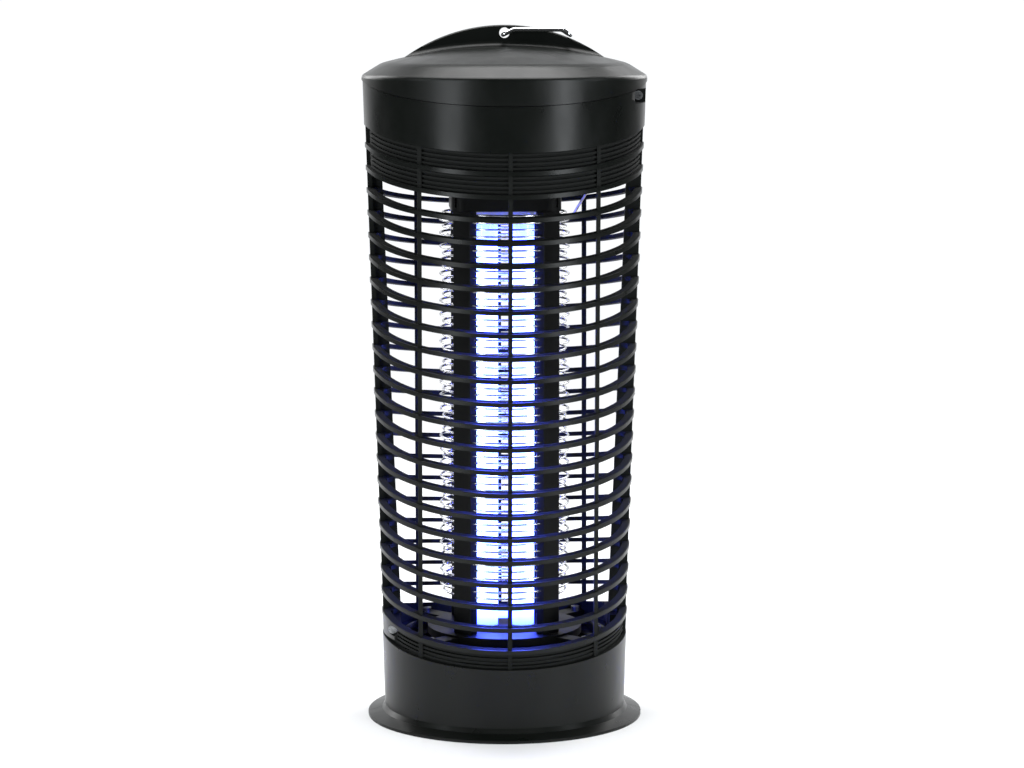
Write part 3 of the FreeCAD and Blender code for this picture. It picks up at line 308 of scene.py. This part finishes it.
FINISHES = {
    "front_shell": housing, "rear_shell": housing, "lid": lid_black, "insect_tray": tray_black,
    "funnel_ring": glossy_black, "lower_grid_plate": inner_black, "grid_head": inner_black,
    "deck": inner_black, "hanging_loop": chrome, "shell_screws": zinc, "deck_screws": zinc,
    "plate_screws": zinc, "terminal_screws": zinc, "cord_gland": rubber,
    "inner_grid_wires": bright_wire, "outer_grid_wires": bright_wire, "inner_bus_bar": bright_wire,
    "outer_bus_bar": bright_wire, "right_grid_lead": tinned, "rear_grid_lead": tinned,
    "lamp_glass": lamp_light, "lamp_base": white_plastic, "lamp_pins": brass,
    "lamp_socket": cream_plastic, "terminal_block": cream_plastic, "ballast_core": laminated("core_steel"),
    "ballast_coil": wound("coil_copper"), "circuit_board": printed_board("circuit_board"),
    "board_capacitors": dipped, "board_diodes": diode_black, "bleed_resistor": resistor_coat,
}
for node_name in nodes:
    finish_node(node_name, FINISHES.get(node_name, inner_black))
SHELLS = ("front_shell", "rear_shell")
BLUNT_INNERS = ("grid_head", "lower_grid_plate", "funnel_ring", "insect_tray", "deck", "lamp_base",
                "lamp_socket", "cord_gland", "terminal_block", "ballast_core", "ballast_coil")
for node_name in nodes:
    if node_name in SHELLS:
        softened(nodes[node_name], SHELL_EDGE)
    elif node_name in BLUNT_INNERS or node_name.startswith("grid_post"):
        softened(nodes[node_name], INNER_EDGE)


# ------------------------------------------------------------------- stage

FLOOR_SOLID = 0.75
FLOOR_RIM = 1.5
FLOOR_TURNS = 96
MIDDLE = (0.0, 0.0, 0.18)
COOL = (0.93, 0.97, 1.0)
WHITE = (1.0, 1.0, 1.0)
ROOM_COLOUR = (0.97, 0.985, 1.0, 1.0)
ROOM_LIGHT = 0.075
WALL_LIGHT = 1.04
WALL_STARTS = 0.7
WALL_FULL = 0.95


def disc(name, radii):
    """A flat disc on the ground, with a ring of points at each radius."""
    rings = bmesh.new()
    points = [rings.verts.new((radius, 0.0, 0.0)) for radius in radii]
    edges = [rings.edges.new(pair) for pair in zip(points, points[1:])]
    bmesh.ops.spin(rings, geom=points + edges, cent=(0, 0, 0), axis=(0, 0, 1), steps=FLOOR_TURNS,
                   angle=2 * math.pi, use_merge=True)
    bmesh.ops.remove_doubles(rings, verts=rings.verts, dist=1e-6)
    bmesh.ops.recalc_face_normals(rings, faces=rings.faces)
    mesh = bpy.data.meshes.new(name)
    rings.to_mesh(mesh)
    rings.free()
    mesh.shade_smooth()
    made = bpy.data.objects.new(name, mesh)
    bpy.context.scene.collection.objects.link(made)
    return made


def pale_floor(solid_radius, outer_radius):
    """A matt, nearly white floor with a faint paper tooth, fading out towards its rim."""
    graph = Graph("pale_floor")
    graph.give("Base Color", graph.mix(graph.noise(3.0), (0.86, 0.87, 0.88), (0.9, 0.9, 0.905)))
    graph.give("Roughness", 0.75)
    graph.give("Specular IOR Level", 0.2)
    graph.give("Normal", graph.bump(graph.noise(700.0), 0.05, 0.1 * MM))
    distance = graph.add("ShaderNodeVectorMath", operation="LENGTH")
    graph.link(graph.coordinates, distance.inputs[0])
    graph.give("Alpha", graph.spread(distance.outputs["Value"], 1.0, 0.0, solid_radius, outer_radius))
    return graph.material


def area_light(name, place, width, height, power, colour=WHITE):
    """A rectangular lamp that points at the object's middle."""
    light = bpy.data.lights.new(name, "AREA")
    light.shape = "RECTANGLE"
    light.size = width
    light.size_y = height
    light.energy = power
    light.color = colour
    lamp = bpy.data.objects.new(name, light)
    lamp.location = place
    lamp.rotation_euler = (Vector(MIDDLE) - Vector(place)).to_track_quat("-Z", "Y").to_euler()
    bpy.context.scene.collection.objects.link(lamp)


def round_place(azimuth, distance, height):
    """A place at an azimuth counted from the front, positive to the right."""
    angle = math.radians(azimuth)
    return (distance * math.sin(angle), -distance * math.cos(angle), height)


def studio_world():
    """A soft grey room with a broad white wall behind the object."""
    world = bpy.data.worlds.new("studio")
    bpy.context.scene.world = world
    world.use_nodes = True
    tree = world.node_tree
    background = tree.nodes["Background"]
    direction = tree.nodes.new("ShaderNodeTexCoord").outputs["Generated"]
    split = tree.nodes.new("ShaderNodeSeparateXYZ")
    tree.links.new(direction, split.inputs["Vector"])
    ramp = tree.nodes.new("ShaderNodeMapRange")
    ramp.interpolation_type = "SMOOTHSTEP"
    for name, value in (("From Min", WALL_STARTS), ("From Max", WALL_FULL), ("To Min", ROOM_LIGHT),
                        ("To Max", WALL_LIGHT)):
        ramp.inputs[name].default_value = value
    tree.links.new(split.outputs["Y"], ramp.inputs["Value"])
    tree.links.new(ramp.outputs["Result"], background.inputs["Strength"])
    background.inputs["Color"].default_value = ROOM_COLOUR


floor = disc("floor", (0.0, FLOOR_SOLID / 2, FLOOR_SOLID, FLOOR_RIM))
floor.data.materials.append(pale_floor(FLOOR_SOLID, FLOOR_RIM))
studio_world()
for light_name, azimuth, power in (("left_strip", -46, 10.5), ("right_strip", 46, 12.5)):
    area_light(light_name, round_place(azimuth, 1.5, 0.42), 0.42, 1.1, power, COOL)
area_light("top_soft", (0.0, 0.15, 1.5), 1.2, 1.2, 28.5)
for light_name, azimuth in (("ring_glint_left", -75), ("ring_glint_right", 75)):
    area_light(light_name, round_place(azimuth, 1.3, 0.9), 0.14, 0.9, 2.0, COOL)
for light_name, azimuth in (("back_left", -140), ("back_right", 140)):
    area_light(light_name, round_place(azimuth, 1.6, 0.9), 0.7, 1.0, 12.0)

# ------------------------------------------------------------------ camera

CAMERA_YAW = math.radians(2.7)
CAMERA_PITCH = math.radians(7.27)
CAMERA_DISTANCE = 1.5668
CAMERA_SIDE = 0.0039
CAMERA_HEIGHT = 0.3728
SENSOR_WIDTH_MM = 36.0
LENS_MM = 107.4
camera_data = bpy.data.cameras.new("camera")
camera_data.sensor_width = SENSOR_WIDTH_MM
camera_data.lens = LENS_MM
camera_data.clip_end = 60.0
camera = bpy.data.objects.new("camera", camera_data)
ahead = Vector((math.sin(CAMERA_YAW), math.cos(CAMERA_YAW), 0.0))
rightward = Vector((math.cos(CAMERA_YAW), -math.sin(CAMERA_YAW), 0.0))
camera.location = rightward * CAMERA_SIDE - ahead * CAMERA_DISTANCE + Vector((0, 0, CAMERA_HEIGHT))
camera.rotation_euler = Euler((math.pi / 2 - CAMERA_PITCH, 0.0, -CAMERA_YAW))
bpy.context.scene.collection.objects.link(camera)
bpy.context.scene.camera = camera
bpy.context.scene.view_settings.view_transform = "Standard"
